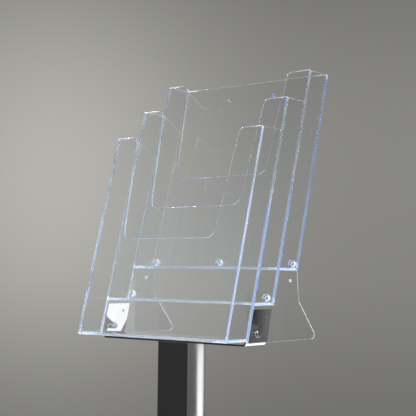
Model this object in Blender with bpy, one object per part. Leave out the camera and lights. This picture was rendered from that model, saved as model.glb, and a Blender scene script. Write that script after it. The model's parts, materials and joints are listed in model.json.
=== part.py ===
"""Floor-standing brochure rack: a three-tier clear A4 leaflet holder, held by a bent steel strap on a
rectangular post with a weighted base plate.

Metres, +Z up. The origin is on the floor, under the centre of the post. -Y is the front and +X is the
reader's right. Every clear piece is a flat sheet, bonded to its neighbours at its edges.
"""
import math

import bmesh
import bpy
from mathutils import Matrix, Vector
from mathutils.geometry import tessellate_polygon

# ---- driving dimensions -------------------------------------------------------------------------
GAP = 0.0003                      # bond line or working clearance between two pieces

WIDTH = 0.232                     # over the cheeks
SHEET = 0.003                     # thickness of the clear sheet
LEAN = math.radians(15.0)         # how far every panel leans back
PITCH = 0.038                     # panel face to panel face, square to the panels
TIER_RISE = 0.0409                # floor to floor
PANEL_LENGTH = 0.260              # floor level to tab top, up the slope
TIERS = 3
HOLDER_FRONT_Y = -0.0638          # bottom front corner of tier 1
HOLDER_Z = 0.900                  # underside of tier 1's floor

CUTOUT_FLOOR = 0.1234             # the U cut-out's level edge, up the slope from the tier's floor
CUTOUT_HALF_BOTTOM = 0.0712
CUTOUT_HALF_TOP = 0.0822
CUTOUT_CORNER_R = 0.011
TAB_CORNER_R = 0.007

FIXING_HOLE_R = 0.0025            # two wall-fixing holes near the top of the back panel
FIXING_HOLE_X = 0.0366
FIXING_HOLE_UP = 0.2395

STUD_HEAD_R = 0.0045
STUD_HEAD_THICK = 0.004
STUD_SHANK_R = 0.002
STUD_TAIL_R = 0.0032
STUD_TAIL_THICK = 0.0015
BACK_STUD_INSET = 0.0082          # stud centre in from the outer side
TIER2_STUD_INSET = 0.0105
STUD_UP = 0.0076                  # stud centre above the underside of its tier's floor

FOOT_DROP = 0.0024                # foot panel's lower edge below tier 1's floor
FOOT_KINK = (0.1466, 0.0449)      # rear edge's bend, from the holder's bottom front corner
FOOT_TIP_Y = 0.1878
FOOT_TIP_R = 0.005
FOOT_KINK_R = 0.008
FOOT_HOLE = (0.1281, 0.0694)
FOOT_HOLE_R = 0.0018

CRADLE_SHEET = 0.0022
CRADLE_DEPTH = 0.0390
CRADLE_TOP = -0.0037              # plate's upper face, from the underside of tier 1's floor
CRADLE_BEND_R = 0.002             # inside radius
EAR_TOP = 0.0363
EAR_SCREW = (0.0594, 0.0080)
EAR_SPARE_HOLE = (0.0795, 0.0270)
EAR_SPARE_HOLE_R = 0.0016

POST_WIDTH = 0.0485
POST_DEPTH = 0.034
POST_WALL = 0.002
POST_CORNER_R = 0.0015
BLOCK_HEIGHT = 0.025
TOP_SCREW_X = 0.012
BASE_SCREW_X = 0.012

BASE_WIDTH = 0.300
BASE_DEPTH = 0.350
BASE_THICK = 0.008
BASE_CORNER_R = 0.012
BASE_CHAMFER = 0.0012
PAD_R = 0.012
PAD_THICK = 0.004
PAD_EDGE = 0.0006
PAD_INSET = 0.030

SIDE_NAMES = {-1: "left", 1: "right"}

# ---- what follows from them ---------------------------------------------------------------------
SIN, COS, TAN = math.sin(LEAN), math.cos(LEAN), math.tan(LEAN)
HALF = WIDTH / 2
BACK_STUD_X = (BACK_STUD_INSET - HALF, 0.0, HALF - BACK_STUD_INSET)
TIER2_STUD_X = (TIER2_STUD_INSET - HALF, HALF - TIER2_STUD_INSET)
STEP_BACK = (PITCH + TIER_RISE * SIN) / COS
RISE = PANEL_LENGTH * COS
SHEET_LEVEL = SHEET / COS         # a leaning sheet's thickness, measured level
RIGHT = Vector((1, 0, 0))
BACK = Vector((0, 1, 0))
UP = Vector((0, 0, 1))
UP_SLOPE = Vector((0, SIN, COS))
SQUARE_BACK = Vector((0, COS, -SIN))

# ---- screws: head radius, head height, shank radius, socket half-width ---------------------------
M4_BUTTON = (0.0038, 0.0022, 0.0020, 0.00125)
M5_BUTTON = (0.00475, 0.0027, 0.0025, 0.0015)
M8_CAP = (0.0065, 0.0050, 0.0040, 0.0025)
HEAD_CROWN = ((0.62, 1.0), (0.88, 0.8), (1.0, 0.32), (1.0, 0.0))   # of head radius, of head height
SOCKET_FLOOR = 0.45               # of the head's height
SCREW_POINT = 0.3                 # chamfer at the shank's end, of its radius
EAR_SCREW_TIP = 0.0035            # thread inside the cap nut
STRAP_SCREW_LENGTH = 0.018
BASE_SCREW_LENGTH = 0.020
WASHER_R = 0.0045
WASHER_THICK = 0.0008
NUT_HALF_FLATS = 0.0035
NUT_HEXAGON_HEIGHT = 0.0032
NUT_DOME_R = 0.0031
NUT_DOME_START = 0.0044
NUT_HEIGHT = 0.0075
NUT_BORE_DEPTH = 0.0051
SCREW_CLEARANCE = GAP
ROUND_SEGMENTS = 24

# ---- looks --------------------------------------------------------------------------------------
MATERIALS = {                     # base colour, roughness, metallic, transmission
    "clear_sheet": ((0.86, 0.91, 1.00), 0.03, 0.0, 1.0),
    "clear_stud": ((0.90, 0.93, 1.00), 0.05, 0.0, 1.0),
    "polished_steel": ((0.62, 0.62, 0.63), 0.12, 1.0, 0.0),
    "satin_steel": ((0.50, 0.50, 0.51), 0.28, 1.0, 0.0),
    "zinc_steel": ((0.55, 0.56, 0.58), 0.35, 1.0, 0.0),
    "base_steel": ((0.46, 0.46, 0.47), 0.35, 1.0, 0.0),
    "rubber": ((0.03, 0.03, 0.03), 0.8, 0.0, 0.0),
}


def material(name):
    """The named finish, made once."""
    if name in bpy.data.materials:
        return bpy.data.materials[name]
    colour, roughness, metallic, transmission = MATERIALS[name]
    made = bpy.data.materials.new(name)
    made.use_nodes = True
    shader = made.node_tree.nodes["Principled BSDF"]
    shader.inputs["Base Color"].default_value = (*colour, 1.0)
    shader.inputs["Roughness"].default_value = roughness
    shader.inputs["Metallic"].default_value = metallic
    shader.inputs["Transmission Weight"].default_value = transmission
    return made


def add_object(name, bm, finish, smooth=False):
    """Turn a bmesh into a named object with its own finish."""
    bmesh.ops.recalc_face_normals(bm, faces=bm.faces)
    mesh = bpy.data.meshes.new(name)
    bm.to_mesh(mesh)
    bm.free()
    if smooth:
        mesh.shade_smooth()
        mesh.set_sharp_from_angle(angle=math.radians(35))
    mesh.materials.append(material(finish))
    made = bpy.data.objects.new(name, mesh)
    bpy.context.collection.objects.link(made)
    return made


# ---- shape builders -----------------------------------------------------------------------------
def rounded(corners, segments=6):
    """A closed outline from (a, b, radius) corners, with an arc wherever the radius isn't 0."""
    outline = []
    count = len(corners)
    for i, (a, b, radius) in enumerate(corners):
        here = Vector((a, b))
        if radius == 0:
            outline.append(here)
            continue
        before = (Vector(corners[i - 1][:2]) - here).normalized()
        after = (Vector(corners[(i + 1) % count][:2]) - here).normalized()
        half_angle = before.angle(after) / 2
        reach = radius / math.tan(half_angle)
        centre = here + (before + after).normalized() * (radius / math.sin(half_angle))
        start = here + before * reach - centre
        turn = start.angle_signed(here + after * reach - centre)
        for step in range(segments + 1):
            angle = -turn * step / segments
            outline.append(centre + Matrix.Rotation(angle, 2) @ start)
    return outline


def circle(a, b, radius, segments=ROUND_SEGMENTS):
    """A round outline about (a, b)."""
    turns = [2 * math.pi * i / segments for i in range(segments)]
    return [Vector((a + radius * math.cos(t), b + radius * math.sin(t))) for t in turns]


def prism(name, outlines, origin, across, up, through, finish):
    """Extrude outlines[0], less the holes outlines[1:], from the origin's plane along through."""
    bm = bmesh.new()
    near, far = [], []
    for outline in outlines:
        for a, b in outline:
            place = Vector(origin) + across * a + up * b
            near.append(bm.verts.new(place))
            far.append(bm.verts.new(place + through))
    if len(outlines) == 1:
        bm.faces.new(near)
        bm.faces.new(far[::-1])
    else:
        flat = [[Vector((a, b, 0)) for a, b in outline] for outline in outlines]
        for i, j, k in tessellate_polygon(flat):
            bm.faces.new((near[i], near[j], near[k]))
            bm.faces.new((far[k], far[j], far[i]))
    first = 0
    for outline in outlines:
        count = len(outline)
        for i in range(count):
            j = (i + 1) % count
            bm.faces.new((near[first + i], near[first + j], far[first + j], far[first + i]))
        first += count
    return add_object(name, bm, finish)


def side_sheet(name, outlines, outer_x):
    """A sheet that stands fore and aft, one sheet thick inwards from outer_x.

    Its outlines are (back, up) from the holder's bottom front corner.
    """
    inward = Vector((-math.copysign(SHEET, outer_x), 0, 0))
    origin = (outer_x, HOLDER_FRONT_Y, HOLDER_Z)
    return prism(name, outlines, origin, BACK, UP, inward, "clear_sheet")


def leaning_sheet(name, outlines, wall):
    """A sheet across the rack in the plane of wall 1, 2, 3 or 4.

    Its outlines are (right, up the slope) from the wall's own floor level.
    """
    origin = (0, HOLDER_FRONT_Y + wall_y(wall), HOLDER_Z + floor_z(wall))
    return prism(name, outlines, origin, RIGHT, UP_SLOPE, SQUARE_BACK * SHEET, "clear_sheet")


def turned(name, profile, place, finish, closed=False):
    """Turn (radius, height[, sides]) points about place's Z axis; sides makes that ring a polygon."""
    bm = bmesh.new()
    rings = []
    for radius, height, *sides in profile:
        if radius == 0:
            rings.append([bm.verts.new(place @ Vector((0, 0, height)))])
            continue
        ring = []
        for i in range(ROUND_SEGMENTS):
            turn = 2 * math.pi * i / ROUND_SEGMENTS
            reach = radius
            if sides:
                wedge = 2 * math.pi / sides[0]
                reach = radius / math.cos(turn % wedge - wedge / 2)
            point = Vector((reach * math.cos(turn), reach * math.sin(turn), height))
            ring.append(bm.verts.new(place @ point))
        rings.append(ring)
    pairs = list(zip(rings, rings[1:]))
    if closed:
        pairs.append((rings[-1], rings[0]))
    for low, high in pairs:
        for i in range(ROUND_SEGMENTS):
            j = (i + 1) % ROUND_SEGMENTS
            corners = [low[i % len(low)], low[j % len(low)], high[j % len(high)], high[i % len(high)]]
            bm.faces.new(list(dict.fromkeys(corners)))
    return add_object(name, bm, finish, smooth=True)


def pointing(position, direction):
    """A placing matrix whose Z axis points along direction."""
    turn = Vector(direction).to_track_quat("Z", "Y").to_matrix().to_4x4()
    return Matrix.Translation(Vector(position)) @ turn


def drill(piece, position, direction, wall):
    """Cut a round hole with a hidden cutter whose wall is a list of (radius, height) points."""
    profile = [(0, wall[0][1]), *wall, (0, wall[-1][1])]
    place = pointing(position, direction)
    cutter = turned(f"{piece.name}_cutter_{len(piece.modifiers)}", profile, place, "zinc_steel")
    cutter.hide_render = True
    cutter.display_type = "WIRE"
    cut = piece.modifiers.new("hole", "BOOLEAN")
    cut.operation = "DIFFERENCE"
    cut.solver = "EXACT"
    cut.object = cutter


def straight(radius, depth):
    """The wall of a plain hole, centred on its position."""
    return [(radius, -depth / 2), (radius, depth / 2)]


# ---- where the tiers are ------------------------------------------------------------------------
def wall_y(wall):
    """How far back wall 1 to 4 is, at its own floor level."""
    return (wall - 1) * STEP_BACK


def floor_z(tier):
    """Height of a tier's floor above tier 1's."""
    return (tier - 1) * TIER_RISE


def wall_front(wall, z):
    """How far back a wall's front face is at height z."""
    return wall_y(wall) + (z - floor_z(wall)) * TAN


def wall_rear(wall, z):
    """How far back a wall's rear face is at height z."""
    return wall_front(wall, z) + SHEET_LEVEL


def slope_for_rear_corner(rise):
    """Distance up the slope at which a square-cut edge has its rear corner at this rise."""
    return (rise + SHEET * SIN) / COS


# ---- the clear holder ---------------------------------------------------------------------------
def front_panel(tier):
    """The U-fronted panel; above tier 1 it runs on down to close the back of the tier below."""
    skirt = 0 if tier == 1 else -TIER_RISE
    bottom = slope_for_rear_corner(skirt)
    right_half = [
        (HALF, bottom, 0),
        (HALF, PANEL_LENGTH, 0),
        (CUTOUT_HALF_TOP, PANEL_LENGTH, TAB_CORNER_R),
        (CUTOUT_HALF_BOTTOM, CUTOUT_FLOOR, CUTOUT_CORNER_R),
    ]
    left_half = [(-a, b, radius) for a, b, radius in reversed(right_half)]
    outlines = [rounded(right_half + left_half)]
    if tier == TIERS:
        stud_up = (STUD_UP + skirt) / COS
        outlines += [circle(x, stud_up, STUD_SHANK_R + GAP) for x in TIER2_STUD_X]
    leaning_sheet(f"tier{tier}_front", outlines, tier)


def back_panel():
    """The last wall, with its two wall-fixing holes and three stud holes."""
    wall = TIERS + 1
    bottom = slope_for_rear_corner(-TIER_RISE)
    top = PANEL_LENGTH - TIER_RISE / COS
    outer = [Vector((-HALF, bottom)), Vector((HALF, bottom)), Vector((HALF, top)), Vector((-HALF, top))]
    fixing_up = FIXING_HOLE_UP - TIER_RISE / COS
    stud_up = (STUD_UP - TIER_RISE) / COS
    holes = [circle(x, fixing_up, FIXING_HOLE_R) for x in (-FIXING_HOLE_X, FIXING_HOLE_X)]
    holes += [circle(x, stud_up, STUD_SHANK_R + GAP) for x in BACK_STUD_X]
    leaning_sheet("back_panel", [outer] + holes, wall)


def cheek(tier, side):
    """The side of one tier, between its front panel and the next wall."""
    low = floor_z(tier)
    high = low + RISE - SHEET * SIN
    outline = [
        (wall_rear(tier, low) + GAP, low),
        (wall_front(tier + 1, low) - GAP, low),
        (wall_front(tier + 1, high) - GAP, high),
        (wall_rear(tier, high) + GAP, high),
    ]
    side_sheet(f"tier{tier}_cheek_{SIDE_NAMES[side]}", [outline], side * HALF)


def tier_floor(tier):
    """The level floor between the cheeks, its front and rear edges mitred to the walls."""
    low, high = floor_z(tier), floor_z(tier) + SHEET
    outline = [
        (wall_rear(tier, low) + GAP, low),
        (wall_front(tier + 1, low) - GAP, low),
        (wall_front(tier + 1, high) - GAP, high),
        (wall_rear(tier, high) + GAP, high),
    ]
    half = HALF - SHEET - GAP
    origin = (-half, HOLDER_FRONT_Y, HOLDER_Z)
    through = Vector((2 * half, 0, 0))
    name = f"tier{tier}_floor"
    prism(name, [outline], origin, BACK, UP, through, "clear_sheet")


def foot_panel(side):
    """The flat support under tiers 2 and 3: stepped in front, raked behind."""
    under_2, under_3 = floor_z(2) - GAP, floor_z(3) - GAP
    corners = [
        (wall_rear(2, 0) + GAP, -FOOT_DROP, 0),
        (FOOT_TIP_Y, -FOOT_DROP, FOOT_TIP_R),
        (*FOOT_KINK, FOOT_KINK_R),
        (wall_rear(4, floor_z(3)), under_3, 0),
        (wall_rear(3, under_3) + GAP, under_3, 0),
        (wall_rear(3, under_2) + GAP, under_2, 0),
        (wall_rear(2, under_2) + GAP, under_2, 0),
        (wall_rear(2, 0) + GAP, 0, 0),
    ]
    outlines = [rounded(corners), circle(*FOOT_HOLE, FOOT_HOLE_R)]
    outlines.append(circle(*EAR_SCREW, M4_BUTTON[2] + SCREW_CLEARANCE))
    side_sheet(f"foot_{SIDE_NAMES[side]}", outlines, side * HALF)


def stud(name, wall, x):
    """A round clear stud through the foot of a wall, its head tangent to the floor in front."""
    up = (STUD_UP - TIER_RISE) / COS
    centre = Vector((x, HOLDER_FRONT_Y + wall_y(wall), HOLDER_Z + floor_z(wall))) + UP_SLOPE * up
    head_back = -GAP
    head_front = head_back - STUD_HEAD_THICK
    tail_front = SHEET + GAP
    tail_back = tail_front + STUD_TAIL_THICK
    edge = STUD_TAIL_THICK / 3
    profile = [
        (0, head_front),
        (STUD_HEAD_R - edge, head_front),
        (STUD_HEAD_R, head_front + edge),
        (STUD_HEAD_R, head_back),
        (STUD_SHANK_R, head_back),
        (STUD_SHANK_R, tail_front),
        (STUD_TAIL_R, tail_front),
        (STUD_TAIL_R, tail_back - edge),
        (STUD_TAIL_R - edge, tail_back),
        (0, tail_back),
    ]
    turned(name, profile, pointing(centre, SQUARE_BACK), "clear_stud")


# ---- the steel cradle and its fixings -----------------------------------------------------------
EAR_OUTER_X = HALF - SHEET - GAP
CRADLE_FRONT = SHEET_LEVEL + GAP + PITCH / COS      # just behind wall 2 at tier 1's floor level


def cradle_strap():
    """One steel strip: level plate, a bend at each end, and ears that lean with the panels."""
    plate_low = CRADLE_TOP - CRADLE_SHEET
    outer_bend = CRADLE_BEND_R + CRADLE_SHEET
    inner_x = EAR_OUTER_X - CRADLE_SHEET
    section = rounded([
        (-EAR_OUTER_X, EAR_TOP, 0),
        (-EAR_OUTER_X, plate_low, outer_bend),
        (EAR_OUTER_X, plate_low, outer_bend),
        (EAR_OUTER_X, EAR_TOP, 0),
        (inner_x, EAR_TOP, 0),
        (inner_x, CRADLE_TOP, CRADLE_BEND_R),
        (-inner_x, CRADLE_TOP, CRADLE_BEND_R),
        (-inner_x, EAR_TOP, 0),
    ], segments=5)
    origin = (0, HOLDER_FRONT_Y + CRADLE_FRONT, HOLDER_Z)
    strap = prism("cradle_strap", [section], origin, RIGHT, UP, BACK * CRADLE_DEPTH, "polished_steel")
    for vert in strap.data.vertices:
        vert.co.y += max(0.0, vert.co.z - HOLDER_Z) * TAN
    depth = 4 * CRADLE_SHEET
    ear_holes = ((EAR_SCREW, M4_BUTTON[2] + SCREW_CLEARANCE), (EAR_SPARE_HOLE, EAR_SPARE_HOLE_R))
    for side in SIDE_NAMES:
        middle_x = side * (EAR_OUTER_X - CRADLE_SHEET / 2)
        for (back, up), radius in ear_holes:
            place = (middle_x, HOLDER_FRONT_Y + back, HOLDER_Z + up)
            drill(strap, place, RIGHT, straight(radius, depth))
        plate_middle = HOLDER_Z + CRADLE_TOP - CRADLE_SHEET / 2
        wall = straight(M5_BUTTON[2] + SCREW_CLEARANCE, depth)
        drill(strap, (side * TOP_SCREW_X, 0, plate_middle), UP, wall)


def socket_screw(name, size, under_head, direction, length, finish):
    """A round-headed screw with a hexagon socket; it points along direction from under its head."""
    head_r, head_h, shank_r, socket = size
    socket_floor = -head_h * SOCKET_FLOOR
    profile = [(0, socket_floor), (socket, socket_floor, 6), (socket, -head_h, 6)]
    profile += [(head_r * out, -head_h * up) for out, up in HEAD_CROWN]
    point = shank_r * SCREW_POINT
    profile += [(shank_r, 0), (shank_r, length - point), (shank_r - point, length), (0, length)]
    turned(name, profile, pointing(under_head, direction), finish)


def washer(name, inner_r, outer_r, thick, position, direction, finish):
    """A flat ring with broken outer edges."""
    edge = thick * 0.25
    profile = [
        (inner_r, 0),
        (outer_r - edge, 0),
        (outer_r, edge),
        (outer_r, thick - edge),
        (outer_r - edge, thick),
        (inner_r, thick),
    ]
    turned(name, profile, pointing(position, direction), finish, closed=True)


def cap_nut(name, bore_r, position, direction, finish):
    """A hexagon nut with a closed dome; direction is the way the dome points."""
    drill_point = bore_r * 0.4
    profile = [
        (0, NUT_BORE_DEPTH),
        (bore_r, NUT_BORE_DEPTH - drill_point),
        (bore_r, 0),
        (NUT_HALF_FLATS - GAP / 3, 0),
        (NUT_HALF_FLATS, GAP, 6),
        (NUT_HALF_FLATS, NUT_HEXAGON_HEIGHT, 6),
        (NUT_DOME_R, NUT_HEXAGON_HEIGHT + GAP),
    ]
    dome_steps = 5
    for step in range(1, dome_steps):
        turn = math.radians(90 * step / dome_steps)
        rise = (NUT_HEIGHT - NUT_DOME_START) * math.sin(turn)
        profile.append((NUT_DOME_R * math.cos(turn), NUT_DOME_START + rise))
    profile.append((0, NUT_HEIGHT))
    turned(name, profile, pointing(position, direction), finish)


def ear_fixing(side):
    """Screw, washer and cap nut that clamp a foot panel to its ear."""
    name = SIDE_NAMES[side]
    outward = RIGHT * side
    finish = "polished_steel"
    bore_r = M4_BUTTON[2] + GAP
    axis_at = Vector((0, HOLDER_FRONT_Y + EAR_SCREW[0], HOLDER_Z + EAR_SCREW[1]))
    washer_x = HALF + GAP
    head_x = washer_x + WASHER_THICK + GAP
    nut_x = EAR_OUTER_X - CRADLE_SHEET - GAP
    reach = head_x - nut_x + EAR_SCREW_TIP
    seat = axis_at + outward * washer_x
    washer(f"ear_washer_{name}", bore_r, WASHER_R, WASHER_THICK, seat, outward, finish)
    socket_screw(f"ear_screw_{name}", M4_BUTTON, axis_at + outward * head_x, -outward, reach, finish)
    cap_nut(f"ear_nut_{name}", bore_r, axis_at + outward * nut_x, -outward, finish)


# ---- the post and base --------------------------------------------------------------------------
PLATE_LOW_Z = HOLDER_Z + CRADLE_TOP - CRADLE_SHEET
POST_TOP_Z = PLATE_LOW_Z - GAP
BASE_LOW_Z = PAD_THICK + GAP
BASE_TOP_Z = BASE_LOW_Z + BASE_THICK
POST_LOW_Z = BASE_TOP_Z + GAP


def rectangle(width, depth, radius):
    """A centred rectangle with round corners."""
    a, b = width / 2, depth / 2
    return rounded([(-a, -b, radius), (a, -b, radius), (a, b, radius), (-a, b, radius)], segments=4)


def level_prism(name, outlines, low, high, finish):
    """Extrude level outlines from one height to another."""
    return prism(name, outlines, (0, 0, low), RIGHT, BACK, UP * (high - low), finish)


def post():
    """A rectangular tube, open at both ends until its blocks close it."""
    inner = rectangle(POST_WIDTH - 2 * POST_WALL, POST_DEPTH - 2 * POST_WALL, POST_CORNER_R - POST_WALL / 2)
    outlines = [rectangle(POST_WIDTH, POST_DEPTH, POST_CORNER_R), inner]
    level_prism("post", outlines, POST_LOW_Z, POST_TOP_Z, "satin_steel")


def post_block(name, low, high, screw_x, screw_r):
    """A steel block pressed and welded into an end of the post, with two tapped holes."""
    width = POST_WIDTH - 2 * POST_WALL - 2 * GAP
    depth = POST_DEPTH - 2 * POST_WALL - 2 * GAP
    outlines = [rectangle(width, depth, POST_CORNER_R)]
    outlines += [circle(x, 0, screw_r + SCREW_CLEARANCE) for x in (-screw_x, screw_x)]
    level_prism(name, outlines, low, high, "zinc_steel")


def base_plate():
    """The floor plate, its upper and lower edges broken, counterbored from below."""
    outline = rectangle(BASE_WIDTH, BASE_DEPTH, BASE_CORNER_R)
    plate = level_prism("base_plate", [outline], BASE_LOW_Z, BASE_TOP_Z, "base_steel")
    bevel = plate.modifiers.new("broken_edges", "BEVEL")
    bevel.width = BASE_CHAMFER
    bevel.segments = 2
    bevel.limit_method = "ANGLE"
    bevel.angle_limit = math.radians(60)
    head_r, head_h, shank_r, _ = M8_CAP
    hole_r, counterbore_r = shank_r + SCREW_CLEARANCE, head_r + 2 * GAP
    seat = head_h + GAP
    wall = [(counterbore_r, -seat), (counterbore_r, seat), (hole_r, seat), (hole_r, 2 * BASE_THICK)]
    for side in SIDE_NAMES:
        drill(plate, (side * BASE_SCREW_X, 0, BASE_LOW_Z), UP, wall)


def strap_and_base_screws():
    """Two screws down into the post's top block and two up into its bottom block."""
    for side, name in SIDE_NAMES.items():
        top = (side * TOP_SCREW_X, 0, HOLDER_Z + CRADLE_TOP + GAP)
        socket_screw(f"strap_screw_{name}", M5_BUTTON, top, -UP, STRAP_SCREW_LENGTH, "polished_steel")
        low = (side * BASE_SCREW_X, 0, BASE_LOW_Z + M8_CAP[1])
        socket_screw(f"base_screw_{name}", M8_CAP, low, UP, BASE_SCREW_LENGTH, "zinc_steel")


def base_pads():
    """Four rubber pads bonded under the base plate's corners."""
    profile = [
        (0, 0),
        (PAD_R - 2 * PAD_EDGE, 0),
        (PAD_R - PAD_EDGE, PAD_EDGE),
        (PAD_R, PAD_THICK),
        (0, PAD_THICK),
    ]
    for side, name in SIDE_NAMES.items():
        for end, place in ((-1, "front"), (1, "rear")):
            x = side * (BASE_WIDTH / 2 - PAD_INSET)
            y = end * (BASE_DEPTH / 2 - PAD_INSET)
            turned(f"base_pad_{place}_{name}", profile, pointing((x, y, 0), UP), "rubber")


def build():
    """Make the whole rack in an empty scene."""
    for old in list(bpy.data.objects):
        bpy.data.objects.remove(old, do_unlink=True)

    for tier in range(1, TIERS + 1):
        front_panel(tier)
        tier_floor(tier)
        for side in SIDE_NAMES:
            cheek(tier, side)
    back_panel()

    for name, x in zip(("left", "middle", "right"), BACK_STUD_X):
        stud(f"back_stud_{name}", TIERS + 1, x)
    for name, x in zip(("left", "right"), TIER2_STUD_X):
        stud(f"tier2_stud_{name}", TIERS, x)

    for side in SIDE_NAMES:
        foot_panel(side)
        ear_fixing(side)
    cradle_strap()

    post()
    post_block("post_top_block", POST_TOP_Z - BLOCK_HEIGHT, POST_TOP_Z, TOP_SCREW_X, M5_BUTTON[2])
    post_block("post_bottom_block", POST_LOW_Z, POST_LOW_Z + BLOCK_HEIGHT, BASE_SCREW_X, M8_CAP[2])
    base_plate()
    strap_and_base_screws()
    base_pads()


build()
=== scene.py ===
"""Looks of the floor-standing brochure rack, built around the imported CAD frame.

Every piece is a finished copy of its CAD node: the same solid with its edges broken, its flats made whole
and a procedural material. The studio is a plain round cove with soft light.
"""
import json
import math
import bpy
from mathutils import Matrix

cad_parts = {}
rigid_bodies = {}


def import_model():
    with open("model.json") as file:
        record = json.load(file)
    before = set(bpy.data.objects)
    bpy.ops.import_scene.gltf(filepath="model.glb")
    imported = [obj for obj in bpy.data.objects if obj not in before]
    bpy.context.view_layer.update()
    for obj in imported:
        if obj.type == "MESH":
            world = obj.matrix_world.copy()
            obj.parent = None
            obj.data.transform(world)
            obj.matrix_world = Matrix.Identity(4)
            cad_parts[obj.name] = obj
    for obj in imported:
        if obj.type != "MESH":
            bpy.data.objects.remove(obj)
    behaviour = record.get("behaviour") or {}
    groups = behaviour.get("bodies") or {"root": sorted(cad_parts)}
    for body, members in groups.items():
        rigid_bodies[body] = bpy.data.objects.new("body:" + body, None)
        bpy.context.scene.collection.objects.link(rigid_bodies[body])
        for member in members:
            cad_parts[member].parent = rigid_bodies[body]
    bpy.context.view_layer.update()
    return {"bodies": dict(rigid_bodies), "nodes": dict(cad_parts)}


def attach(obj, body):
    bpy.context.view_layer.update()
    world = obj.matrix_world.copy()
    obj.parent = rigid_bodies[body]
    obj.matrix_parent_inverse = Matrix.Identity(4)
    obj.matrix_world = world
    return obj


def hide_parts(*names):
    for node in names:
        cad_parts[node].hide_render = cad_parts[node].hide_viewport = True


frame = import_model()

from fnmatch import fnmatchcase

import bmesh
import bpy
from mathutils import Matrix, Vector

root_body = next(iter(frame["bodies"]))

# ---- the holder ----------------------------------------------------------------------------------
LEAN = math.radians(15.0)                     # lean of the clear panels
PANEL_NORMAL = (0.0, math.cos(LEAN), -math.sin(LEAN))
SIDE_NORMAL = (1.0, 0.0, 0.0)
LEVEL_NORMAL = (0.0, 0.0, 1.0)

# ---- camera --------------------------------------------------------------------------------------
CAMERA_AT = Vector((0.8255, -0.9874, 0.9793))
CAMERA_YAW = 0.6730                           # radians left of straight back
CAMERA_PITCH = 0.0606
CAMERA_ROLL = 0.0114
CAMERA_LENS = 90.62                           # mm, on a 36 mm wide sensor

# ---- studio --------------------------------------------------------------------------------------
COVE_RADIUS = 6.0
COVE_BEND = 0.6
COVE_HEIGHT = 6.5
WALL_BASE = 0.0358                            # brightness of the wall away from every glow
BAND_GLOW = 0.2067                            # a level band round the whole wall
BAND_HEIGHT = 1.685
BAND_SPREADS = 2.902, 2.201                   # below and above its height
SPOT_GLOW = 0.2098                            # the brighter patch behind the rack's left side
SPOT_TURN = math.radians(-48.4)               # from straight back, positive to +X
SPOT_SPREAD = math.radians(10.1)
SPOT_HEIGHT = 1.588
SPOT_SPREADS = 1.410, 1.481
FRONT_GLOW = 0.52                             # a high glow at the front left, mirrored by the leaning walls
FRONT_TURN = math.radians(-136.0)
FRONT_SPREAD = math.radians(38.0)
FRONT_HEIGHT = 2.9
FRONT_SPREADS = 1.5, 1.7
WALL_FOOT_HEIGHT = 0.9                        # below this the wall's glow is a little darker, painted shade along its foot
WALL_FOOT_SHARE = 0.88
WALL_TINT = (1.016, 1.0, 0.934)
REAR_TURN = math.radians(41.5)                # of the cards behind the rack's right side
LOW_TURN = math.radians(-141.0)               # of the card in front of the rack's left side
REAR_DISTANCE = 3.0
LOW_DISTANCE = 2.0
LIGHT_BOUNCES = 300                           # light crosses many clear faces before it leaves an edge


# ---- node helpers --------------------------------------------------------------------------------
def put(tree, socket, value):
    """Link a socket, or set its plain value."""
    if isinstance(value, bpy.types.NodeSocket):
        tree.links.new(value, socket)
    else:
        socket.default_value = value


def node(tree, kind, inputs=None, **settings):
    """Add a shader node with its settings and inputs."""
    made = tree.nodes.new("ShaderNode" + kind)
    for name, value in settings.items():
        setattr(made, name, value)
    for name, value in (inputs or {}).items():
        put(tree, made.inputs[name], value)
    return made


def calc(tree, operation, first, second=0.0, third=0.0, clamp=False):
    """One Math node's result."""
    made = node(tree, "Math", {0: first, 1: second, 2: third}, operation=operation, use_clamp=clamp)
    return made.outputs[0]


def mapped(tree, value, low, high, to_low, to_high, smooth=False):
    """A value's range turned into another."""
    kind = "SMOOTHSTEP" if smooth else "LINEAR"
    inputs = {"Value": value, "From Min": low, "From Max": high, "To Min": to_low, "To Max": to_high}
    return node(tree, "MapRange", inputs, interpolation_type=kind).outputs[0]


def noise(tree, scale, detail=3.0, rough=0.5, stretch=(1, 1, 1)):
    """Noise in the object's own metres, finer along an axis with a larger stretch."""
    place = node(tree, "TexCoord").outputs["Object"]
    place = node(tree, "Mapping", {"Vector": place, "Scale": stretch}).outputs[0]
    inputs = {"Vector": place, "Scale": scale, "Detail": detail, "Roughness": rough}
    return node(tree, "TexNoise", inputs).outputs[0]


def along(tree, vector, axis):
    """How far a vector points along an axis."""
    return node(tree, "VectorMath", {0: vector, 1: axis}, operation="DOT_PRODUCT").outputs["Value"]


def blend(tree, amount, none, full):
    """A colour between two others."""
    return node(tree, "Mix", {0: amount, 6: none, 7: full}, data_type="RGBA").outputs[2]


def lets_lamps_through(tree, surface, tint):
    """The surface, but tinted clear to shadow rays."""
    shadow = node(tree, "LightPath").outputs["Is Shadow Ray"]
    through = node(tree, "BsdfTransparent", {"Color": tint})
    return node(tree, "MixShader", {0: shadow, 1: surface.outputs[0], 2: through.outputs[0]})


def blank_material(name):
    """An empty material, its tree and its output node."""
    made = bpy.data.materials.new(name)
    made.use_nodes = True
    made.node_tree.nodes.clear()
    return made, made.node_tree, node(made.node_tree, "OutputMaterial")


def bump(tree, height, distance, strength=1.0):
    """A surface bump from a height value."""
    return node(tree, "Bump", {"Height": height, "Distance": distance, "Strength": strength}).outputs[0]
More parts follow.
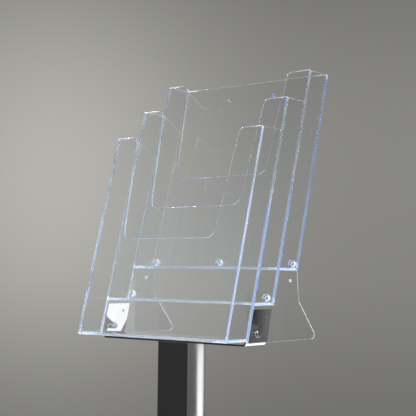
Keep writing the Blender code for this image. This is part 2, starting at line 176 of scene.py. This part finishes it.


# ---- materials -----------------------------------------------------------------------------------
# Colours of the cut sheet edges. EDGE_WHITE is the cut edges' own pale scatter; the other colours are
# painted light: the blue glow, pale highlights and grey and slate shade seen along the edges.
EDGE_BLUE = (0.30, 0.44, 0.90, 1.0)
EDGE_PALE = (0.66, 0.74, 0.92, 1.0)
EDGE_WHITE = (0.95, 0.96, 1.0, 1.0)
EDGE_SLATE = (0.30, 0.34, 0.44, 1.0)
EDGE_GREY = (0.22, 0.23, 0.25, 1.0)
EDGE_DULL = (0.46, 0.48, 0.54, 1.0)
SLOPE = (0.0, math.sin(LEAN), math.cos(LEAN))
CUT_OUT_HALF = 0.090                          # the edges nearer the middle than this are cut-out edges
HOLDER_FOOT, HOLDER_HEAD = 0.90, 1.20         # heights between which the painted edge light goes from bright low down to dim high up


def clear_sheet(name, face_normal, frost, right=(EDGE_WHITE, EDGE_WHITE), left=(EDGE_WHITE, EDGE_WHITE)):
    """Clear cast sheet: clean faces square to face_normal, cut edges that scatter some light and carry
    painted light.

    frost is how much the outer edges scatter; right gives their painted glow colours low down and high up
    on the right side, and left the dark and bright painted light streaks on the left side.
    """
    made, tree, output = blank_material(name)
    place = node(tree, "TexCoord")
    normal = place.outputs["Normal"]
    apart = node(tree, "SeparateXYZ", {0: place.outputs["Object"]})
    facing = calc(tree, "ABSOLUTE", along(tree, normal, face_normal))
    upward = calc(tree, "ABSOLUTE", along(tree, normal, SLOPE))
    sideways = calc(tree, "ABSOLUTE", apart.outputs["X"])
    edge = mapped(tree, facing, 0.80, 0.98, 1.0, 0.0)
    outer = mapped(tree, sideways, CUT_OUT_HALF, CUT_OUT_HALF + 0.01, 0.0, 1.0)
    sawn = calc(tree, "MULTIPLY", mapped(tree, upward, 0.6, 0.9, 0.0, 1.0), outer)

    smudge = mapped(tree, noise(tree, 11.0, 5.0, 0.6), 0.48, 0.75, 0.0, 1.0)
    saw_marks = noise(tree, 60.0, 3.0, 0.5)
    face_rough = mapped(tree, smudge, 0.0, 1.0, 0.002, 0.03)
    edge_rough = mapped(tree, saw_marks, 0.3, 0.7, 0.06, 0.16)
    rough = node(tree, "Mix", {0: edge, 2: face_rough, 3: edge_rough}, data_type="FLOAT").outputs[0]
    ripple = bump(tree, noise(tree, 9.0, 1.0, 0.3), 0.0003, 0.08)
    glass = node(tree, "BsdfPrincipled", {
        "Base Color": (0.985, 0.992, 1.0, 1.0), "Roughness": rough, "IOR": 1.49,
        "Transmission Weight": 1.0, "Normal": ripple})

    # Painted edge light: on the right the outer edges glow blue low down and fade to grey high up, on the
    # left they carry painted light streaks, and lit raises their scatter low down and on the streaks.
    lowness = mapped(tree, apart.outputs["Z"], HOLDER_FOOT, HOLDER_HEAD, 1.0, 0.0)
    leftward = mapped(tree, apart.outputs["X"], -0.05, 0.08, 1.0, 0.0)
    painted_light_streak = mapped(tree, noise(tree, 30.0, 1.0, 0.4), 0.47, 0.56, 0.0, 1.0)
    painted_light_streak = calc(tree, "MULTIPLY", painted_light_streak, mapped(tree, lowness, 0.15, 0.75, 0.25, 1.0))
    low_down = mapped(tree, lowness, 0.33, 0.50, 0.0, 1.0, smooth=True)
    lit = mapped(tree, calc(tree, "MAXIMUM", low_down, painted_light_streak), 0.0, 1.0, 0.45, 1.0)
    outer_share = calc(tree, "MULTIPLY", calc(tree, "MULTIPLY", outer, frost), lit)
    # Cut-out edges scatter more low down: painted light.
    cut_out_share = calc(tree, "MULTIPLY", mapped(tree, outer, 0.0, 1.0, 0.12, 0.0), lowness)
    # The sawn tops' scatter is real; its larger share on the left is a painted highlight.
    sawn_share = calc(tree, "MULTIPLY", sawn, mapped(tree, leftward, 0.0, 1.0, 0.30, 0.80))
    share = calc(tree, "MAXIMUM", outer_share, calc(tree, "MAXIMUM", cut_out_share, sawn_share))
    share = calc(tree, "MULTIPLY", edge, share)

    on_right = blend(tree, low_down, right[1], right[0])
    on_left = blend(tree, painted_light_streak, left[0], left[1])
    white = calc(tree, "MAXIMUM", sawn, calc(tree, "SUBTRACT", 1.0, outer))
    colour = blend(tree, white, blend(tree, leftward, on_right, on_left), EDGE_WHITE)
    dull = node(tree, "BsdfPrincipled", {"Base Color": colour, "Roughness": 0.35, "IOR": 1.49})
    inward = node(tree, "BsdfTranslucent", {"Color": colour})
    passed = mapped(tree, calc(tree, "MAXIMUM", sawn, leftward), 0.0, 1.0, 0.20, 0.60)
    scatter = node(tree, "MixShader", {0: passed, 1: dull.outputs[0], 2: inward.outputs[0]})
    surface = node(tree, "MixShader", {0: share, 1: glass.outputs[0], 2: scatter.outputs[0]})

    shown = lets_lamps_through(tree, surface, (0.90, 0.93, 0.97, 1.0))
    tree.links.new(shown.outputs[0], output.inputs["Surface"])
    absorb = node(tree, "VolumeAbsorption", {"Color": (0.45, 0.72, 1.0, 1.0), "Density": 6.0})
    tree.links.new(absorb.outputs[0], output.inputs["Volume"])
    return made


def clear_stud():
    """Moulded clear plastic of the studs; a white matte share on their rims is a painted highlight, the
    bright ring.
    """
    made, tree, output = blank_material("clear_stud_moulded")
    flow = noise(tree, 300.0, 3.0, 0.5)
    facing = along(tree, node(tree, "TexCoord").outputs["Normal"], PANEL_NORMAL)
    painted_ring = mapped(tree, calc(tree, "ABSOLUTE", facing), 0.20, 0.60, 1.0, 0.0)
    glass = node(tree, "BsdfPrincipled", {
        "Base Color": (0.97, 0.98, 1.0, 1.0), "Roughness": mapped(tree, flow, 0.3, 0.7, 0.01, 0.05),
        "IOR": 1.49, "Transmission Weight": 1.0, "Normal": bump(tree, flow, 0.00005, 0.1)})
    # Painted highlight: white matte scatter on the rims for the bright ring.
    dull = node(tree, "BsdfPrincipled", {"Base Color": EDGE_WHITE, "Roughness": 0.3, "IOR": 1.49})
    share = calc(tree, "MULTIPLY", painted_ring, mapped(tree, flow, 0.3, 0.7, 0.25, 0.45))
    surface = node(tree, "MixShader", {0: share, 1: glass.outputs[0], 2: dull.outputs[0]})
    shown = lets_lamps_through(tree, surface, (0.85, 0.88, 0.92, 1.0))
    tree.links.new(shown.outputs[0], output.inputs["Surface"])
    return made


def metal(name, colour, dark, rough_low, rough_high, grain, grain_bump, spots):
    """Bare metal: grain noise stretched by its vector, faint stains, roughness and bump from both."""
    made, tree, output = blank_material(name)
    lines = noise(tree, 1.0, 4.0, 0.6, grain)
    stain = noise(tree, spots, 4.0, 0.55)
    tone = blend(tree, mapped(tree, stain, 0.35, 0.70, 0.0, 1.0), (*colour, 1.0), (*dark, 1.0))
    spread = calc(tree, "MULTIPLY_ADD", stain, 0.4, calc(tree, "MULTIPLY", lines, 0.6))
    rough = mapped(tree, spread, 0.35, 0.65, rough_low, rough_high)
    shader = node(tree, "BsdfPrincipled", {
        "Base Color": tone, "Metallic": 1.0, "Roughness": rough,
        "Normal": bump(tree, lines, grain_bump, 0.5)})
    tree.links.new(shader.outputs[0], output.inputs["Surface"])
    return made


def rubber():
    """Matte black moulded rubber."""
    made, tree, output = blank_material("rubber_moulded")
    grain = noise(tree, 900.0, 4.0, 0.6)
    dust = mapped(tree, noise(tree, 60.0, 4.0, 0.6), 0.5, 0.8, 0.0, 1.0)
    tone = blend(tree, dust, (0.022, 0.022, 0.023, 1.0), (0.06, 0.058, 0.055, 1.0))
    shader = node(tree, "BsdfPrincipled", {
        "Base Color": tone, "Roughness": mapped(tree, grain, 0.3, 0.7, 0.65, 0.9),
        "Normal": bump(tree, grain, 0.0003, 0.5)})
    tree.links.new(shader.outputs[0], output.inputs["Surface"])
    return made


# The panels' right and left edge colours are painted light: the glow and shade seen along their cut edges.
FINISHES = {
    "front_panel": clear_sheet("clear_sheet_front", PANEL_NORMAL, 0.60, (EDGE_PALE, EDGE_PALE),
                               (EDGE_SLATE, EDGE_PALE)),
    "middle_panel": clear_sheet("clear_sheet_middle", PANEL_NORMAL, 0.60, (EDGE_BLUE, EDGE_GREY),
                                (EDGE_SLATE, EDGE_PALE)),
    "third_panel": clear_sheet("clear_sheet_third", PANEL_NORMAL, 0.55, (EDGE_BLUE, EDGE_GREY),
                               (EDGE_GREY, EDGE_DULL)),
    "rear_panel": clear_sheet("clear_sheet_rear", PANEL_NORMAL, 0.55, (EDGE_BLUE, EDGE_BLUE),
                              (EDGE_GREY, EDGE_GREY)),
    "cheek": clear_sheet("clear_sheet_cheek", SIDE_NORMAL, 0.03),
    "foot": clear_sheet("clear_sheet_foot", SIDE_NORMAL, 0.28),
    "level": clear_sheet("clear_sheet_level", LEVEL_NORMAL, 0.26),
    "stud": clear_stud(),
    "polished": metal("steel_polished", (0.66, 0.66, 0.67), (0.58, 0.58, 0.59), 0.015, 0.05,
                      (200.0, 200.0, 200.0), 0.00001, 25.0),
    # The screw heads' dark base colour is painted shade: the polished heads are darkened to the dark look
    # of their shaded sockets.
    "screw": metal("steel_screw_heads_painted_shade", (0.30, 0.30, 0.31), (0.20, 0.20, 0.21), 0.12, 0.22,
                   (400.0, 400.0, 400.0), 0.00003, 120.0),
    "post": metal("steel_satin_post", (0.60, 0.60, 0.61), (0.52, 0.52, 0.53), 0.07, 0.15,
                  (1400.0, 1400.0, 6.0), 0.00002, 5.0),
    "zinc": metal("steel_zinc_plated", (0.56, 0.57, 0.59), (0.44, 0.45, 0.46), 0.25, 0.45,
                  (300.0, 300.0, 300.0), 0.00003, 80.0),
    "base": metal("steel_satin_base", (0.50, 0.50, 0.51), (0.42, 0.42, 0.43), 0.24, 0.38,
                  (30.0, 1600.0, 1600.0), 0.00003, 6.0),
    "rubber": rubber(),
}


# ---- pieces --------------------------------------------------------------------------------------
CORNER_ANGLE = math.radians(32.0)             # a sharper turn between faces is a corner, which gets broken
FACET_ANGLE = math.radians(17.0)              # a softer turn is a step of a round surface
FLAT_ANGLE = math.radians(0.3)                # faces nearer than this to one plane are one flat
MERGE_DISTANCE = 1e-6
BREAK_SEGMENTS = 3
SHEET_BREAK = 0.0003                          # width of the broken edges
STUD_BREAK = 0.00025
METAL_BREAK = 0.0002


def finished(name, finish, edge_width):
    """Stand in for a CAD node with the same solid, its flats joined and its sharp edges broken."""
    bm = bmesh.new()
    bm.from_mesh(frame["nodes"][name].data)
    bmesh.ops.remove_doubles(bm, verts=bm.verts, dist=MERGE_DISTANCE)
    bmesh.ops.dissolve_limit(bm, angle_limit=FLAT_ANGLE, verts=bm.verts, edges=bm.edges)
    corners = [e for e in bm.edges if e.is_manifold and e.calc_face_angle(0.0) > CORNER_ANGLE]
    made = bmesh.ops.bevel(bm, geom=corners, offset=edge_width, offset_type="OFFSET",
                           segments=BREAK_SEGMENTS, profile=0.5, affect="EDGES", clamp_overlap=True)
    broken = set(made["faces"])
    bmesh.ops.recalc_face_normals(bm, faces=bm.faces)
    for face in bm.faces:
        face.smooth = True
    for edge in bm.edges:
        one, other = edge.link_faces
        meets_flat = (one in broken) != (other in broken)
        limit = CORNER_ANGLE if one in broken else FACET_ANGLE
        edge.smooth = not meets_flat and edge.calc_face_angle(0.0) < limit
    mesh = bpy.data.meshes.new(name + "_finished")
    bm.to_mesh(mesh)
    bm.free()
    mesh.materials.append(FINISHES[finish])
    piece = bpy.data.objects.new(name + "_finished", mesh)
    bpy.context.scene.collection.objects.link(piece)
    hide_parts(name)
    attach(piece, root_body)
    return piece


FINISH_OF = (                                 # name pattern, finish, the record's slot and edge break
    ("*stud*", "stud", "clear_stud", STUD_BREAK),
    ("tier1_front", "front_panel", "clear_sheet", SHEET_BREAK),
    ("tier2_front", "middle_panel", "clear_sheet", SHEET_BREAK),
    ("tier3_front", "third_panel", "clear_sheet", SHEET_BREAK),
    ("back_panel", "rear_panel", "clear_sheet", SHEET_BREAK),
    ("tier*_floor", "level", "clear_sheet", SHEET_BREAK),
    ("tier*", "cheek", "clear_sheet", SHEET_BREAK),
    ("foot*", "foot", "clear_sheet", SHEET_BREAK),
    ("post", "post", "satin_steel", METAL_BREAK),
    ("base_plate", "base", "base_steel", METAL_BREAK),
    ("base_pad*", "rubber", "rubber", SHEET_BREAK),
    ("ear_screw*", "screw", "polished_steel", METAL_BREAK),
    ("ear_nut*", "zinc", "polished_steel", METAL_BREAK),
    ("ear_washer*", "zinc", "polished_steel", METAL_BREAK),
    ("base_screw*", "zinc", "zinc_steel", METAL_BREAK),
    ("*_block", "zinc", "zinc_steel", METAL_BREAK),
    ("*", "polished", "polished_steel", METAL_BREAK),
)


def finish_of(name):
    """The finish, slot and edge break of the first pattern that a CAD node's name fits."""
    return next(row[1:] for row in FINISH_OF if fnmatchcase(name, row[0]))


# ---- studio --------------------------------------------------------------------------------------
def lathe(name, profile, segments=96):
    """A surface of revolution about Z from (radius, height) points."""
    bm = bmesh.new()
    rings = []
    for radius, height in profile:
        if radius == 0:
            rings.append([bm.verts.new((0, 0, height))])
            continue
        turns = [2 * math.pi * i / segments for i in range(segments)]
        rings.append([bm.verts.new((radius * math.cos(t), radius * math.sin(t), height)) for t in turns])
    for low, high in zip(rings, rings[1:]):
        for i in range(segments):
            j = (i + 1) % segments
            corners = [low[i % len(low)], low[j % len(low)], high[j % len(high)], high[i % len(high)]]
            bm.faces.new(list(dict.fromkeys(corners)))
    mesh = bpy.data.meshes.new(name)
    bm.to_mesh(mesh)
    bm.free()
    mesh.shade_smooth()
    made = bpy.data.objects.new(name, mesh)
    bpy.context.scene.collection.objects.link(made)
    return made


def cove_material():
    """The wall's own glow.

    It has a level band all round, a brighter patch at the back left, a high glow at the front left and a
    slightly darker foot, painted shade where the wall meets the floor.
    """
    made, tree, output = blank_material("studio_cove")
    place = node(tree, "NewGeometry").outputs["Position"]
    apart = node(tree, "SeparateXYZ", {0: place})
    turn = calc(tree, "ARCTAN2", apart.outputs["X"], apart.outputs["Y"])

    def bell(value, middle, spread):
        off = calc(tree, "DIVIDE", calc(tree, "SUBTRACT", value, middle), spread)
        return calc(tree, "EXPONENT", calc(tree, "MULTIPLY", calc(tree, "MULTIPLY", off, off), -1.0))

    def round_bell(middle, spread):
        """A bell round the wall, without a seam straight in front of the rack."""
        away = calc(tree, "WRAP", calc(tree, "SUBTRACT", turn, middle), math.pi, -math.pi)
        return bell(away, 0.0, spread)

    def uneven_bell(value, middle, spreads):
        below, above = (bell(calc(tree, side, value, middle), middle, spread)
                        for side, spread in zip(("MINIMUM", "MAXIMUM"), spreads))
        return calc(tree, "MULTIPLY", below, above)

    height = apart.outputs["Z"]
    band = calc(tree, "MULTIPLY", uneven_bell(height, BAND_HEIGHT, BAND_SPREADS), BAND_GLOW)
    spot = calc(tree, "MULTIPLY", round_bell(SPOT_TURN, SPOT_SPREAD),
                uneven_bell(height, SPOT_HEIGHT, SPOT_SPREADS))
    front = calc(tree, "MULTIPLY", round_bell(FRONT_TURN, FRONT_SPREAD),
                 uneven_bell(height, FRONT_HEIGHT, FRONT_SPREADS))
    level = calc(tree, "ADD", calc(tree, "MULTIPLY_ADD", spot, SPOT_GLOW, band), WALL_BASE)
    level = calc(tree, "MULTIPLY_ADD", front, FRONT_GLOW, level)
    level = calc(tree, "MULTIPLY", level, mapped(tree, height, 0.0, WALL_FOOT_HEIGHT, WALL_FOOT_SHARE, 1.0))
    glow = node(tree, "Emission", {"Color": (*WALL_TINT, 1.0), "Strength": level})
    tree.links.new(glow.outputs[0], output.inputs["Surface"])
    made.cycles.emission_sampling = "NONE"
    return made


def floor_material():
    """Pale matte studio floor with a faint mottle."""
    made, tree, output = blank_material("studio_floor")
    mottle = noise(tree, 3.0, 5.0, 0.6)
    tone = blend(tree, mottle, (0.52, 0.52, 0.50, 1.0), (0.60, 0.60, 0.58, 1.0))
    shader = node(tree, "BsdfPrincipled", {"Base Color": tone, "Roughness": 0.7})
    tree.links.new(shader.outputs[0], output.inputs["Surface"])
    return made


def studio_cove():
    """Round wall, flat ceiling and floor."""
    bend = [(COVE_RADIUS - COVE_BEND + COVE_BEND * math.sin(t), COVE_BEND - COVE_BEND * math.cos(t))
            for t in (math.pi / 2 * i / 8 for i in range(9))]
    profile = bend + [(COVE_RADIUS, COVE_HEIGHT), (0, COVE_HEIGHT)]
    wall = lathe("studio_wall", profile)
    wall.data.materials.append(cove_material())
    floor = lathe("studio_floor", [(0, 0), (1.5, 0), (COVE_RADIUS - COVE_BEND, 0)])
    floor.data.materials.append(floor_material())


def upright(turn, distance, corners):
    """Corners (right, up) of an upright card, some way off at a turn from straight back."""
    away = Vector((math.sin(turn), math.cos(turn), 0))
    across = Vector((away.y, -away.x, 0))
    return [away * distance + across * a + Vector((0, 0, b)) for a, b in corners]


def card(name, corners, brightness, fade=None, faded_to=0.22):
    """A flat glowing card that only reflections show, unless it is set otherwise.

    A fade (from, to) takes it to faded_to between those shares of the way along its first side.
    """
    bm = bmesh.new()
    bm.faces.new([bm.verts.new(corner) for corner in corners])
    mesh = bpy.data.meshes.new(name)
    bm.to_mesh(mesh)
    bm.free()
    made, tree, output = blank_material(name)
    strength = brightness
    if fade:
        side = Vector(corners[1]) - Vector(corners[0])
        place = node(tree, "TexCoord").outputs["Object"]
        place = node(tree, "VectorMath", {0: place, 1: corners[0]}, operation="SUBTRACT").outputs[0]
        share = along(tree, place, side / side.length_squared)
        strength = mapped(tree, share, *fade, brightness, faded_to, smooth=True)
    glow = node(tree, "Emission", {"Strength": strength})
    tree.links.new(glow.outputs[0], output.inputs["Surface"])
    made.cycles.emission_sampling = "NONE"
    mesh.materials.append(made)
    piece = bpy.data.objects.new(name, mesh)
    bpy.context.scene.collection.objects.link(piece)
    piece.visible_camera = False
    piece.visible_transmission = False
    piece.visible_diffuse = False
    piece.visible_shadow = False
    return piece


def softbox(name, position, target, width, height, power):
    """A rectangular lamp aimed at a point."""
    data = bpy.data.lights.new(name, "AREA")
    data.shape = "RECTANGLE"
    data.size, data.size_y = width, height
    data.energy = power
    lamp = bpy.data.objects.new(name, data)
    bpy.context.scene.collection.objects.link(lamp)
    lamp.location = position
    lamp.rotation_euler = (Vector(target) - Vector(position)).to_track_quat("-Z", "Y").to_euler()
    lamp.visible_camera = False
    return lamp


def camera():
    """The camera, in front and to the rack's right, looking up a little at the holder."""
    back = Vector((-math.sin(CAMERA_YAW), math.cos(CAMERA_YAW), 0))
    right = Vector((math.cos(CAMERA_YAW), math.sin(CAMERA_YAW), 0))
    up = Vector((0, 0, 1))
    ahead = back * math.cos(CAMERA_PITCH) + up * math.sin(CAMERA_PITCH)
    above = up * math.cos(CAMERA_PITCH) - back * math.sin(CAMERA_PITCH)
    x_axis = right * math.cos(CAMERA_ROLL) + above * math.sin(CAMERA_ROLL)
    y_axis = above * math.cos(CAMERA_ROLL) - right * math.sin(CAMERA_ROLL)
    data = bpy.data.cameras.new("camera")
    data.lens = CAMERA_LENS
    data.sensor_width = 36.0
    data.clip_start, data.clip_end = 0.05, 50.0
    made = bpy.data.objects.new("camera", data)
    bpy.context.scene.collection.objects.link(made)
    turn = Matrix((x_axis, y_axis, -ahead)).transposed()
    made.matrix_world = Matrix.Translation(CAMERA_AT) @ turn.to_4x4()
    bpy.context.scene.camera = made


camera()
studio_cove()
card("card_left_ear",
     upright(REAR_TURN, REAR_DISTANCE, [(-0.06, 0.676), (0.20, 0.92), (0.20, 0.94), (-0.06, 0.94)]), 1.7)
card("card_post",
     upright(REAR_TURN, REAR_DISTANCE, [(-0.60, 0.13), (-0.05, 0.10), (-0.05, 0.695), (-0.60, 0.695)]), 1.8,
     (0.72, 0.86))
ear_corners = [(-0.16, 0.66), (-0.30, 0.66), (-0.30, 0.90), (-0.16, 0.90)]
ear_card = card("card_right_ear", upright(REAR_TURN, REAR_DISTANCE, ear_corners), 0.01, (0.0, 0.9), 0.26)
ear_card.visible_transmission = True          # the right ear lies behind a clear foot panel
card("card_low_front",
     upright(LOW_TURN, LOW_DISTANCE, [(-1.6, 0.02), (1.6, 0.02), (1.6, 0.99), (-1.6, 0.99)]), 0.045)
card("card_floor_rear", [(-0.3, 0.9, 0.004), (0.9, 0.9, 0.004), (2.2, 2.6, 0.004), (0.7, 2.6, 0.004)], 2.0)
softbox("light_top", (0.0, -0.4, 2.7), (0, 0, 1.0), 1.4, 1.0, 60)
softbox("light_right", (2.0, -0.6, 1.5), (0, 0, 1.05), 0.7, 1.2, 32)
softbox("light_left", (-1.3, 0.3, 2.4), (-0.1, 0, 1.1), 0.5, 0.5, 30)

for node_name in sorted(frame["nodes"]):
    look, record_slot, width = finish_of(node_name)
    finished(node_name, look, width)

scene = bpy.context.scene
scene.view_settings.view_transform = "Standard"
scene.cycles.max_bounces = LIGHT_BOUNCES
scene.cycles.transmission_bounces = LIGHT_BOUNCES
scene.cycles.glossy_bounces = LIGHT_BOUNCES
scene.cycles.transparent_max_bounces = 32
scene.cycles.sample_clamp_indirect = 2.0
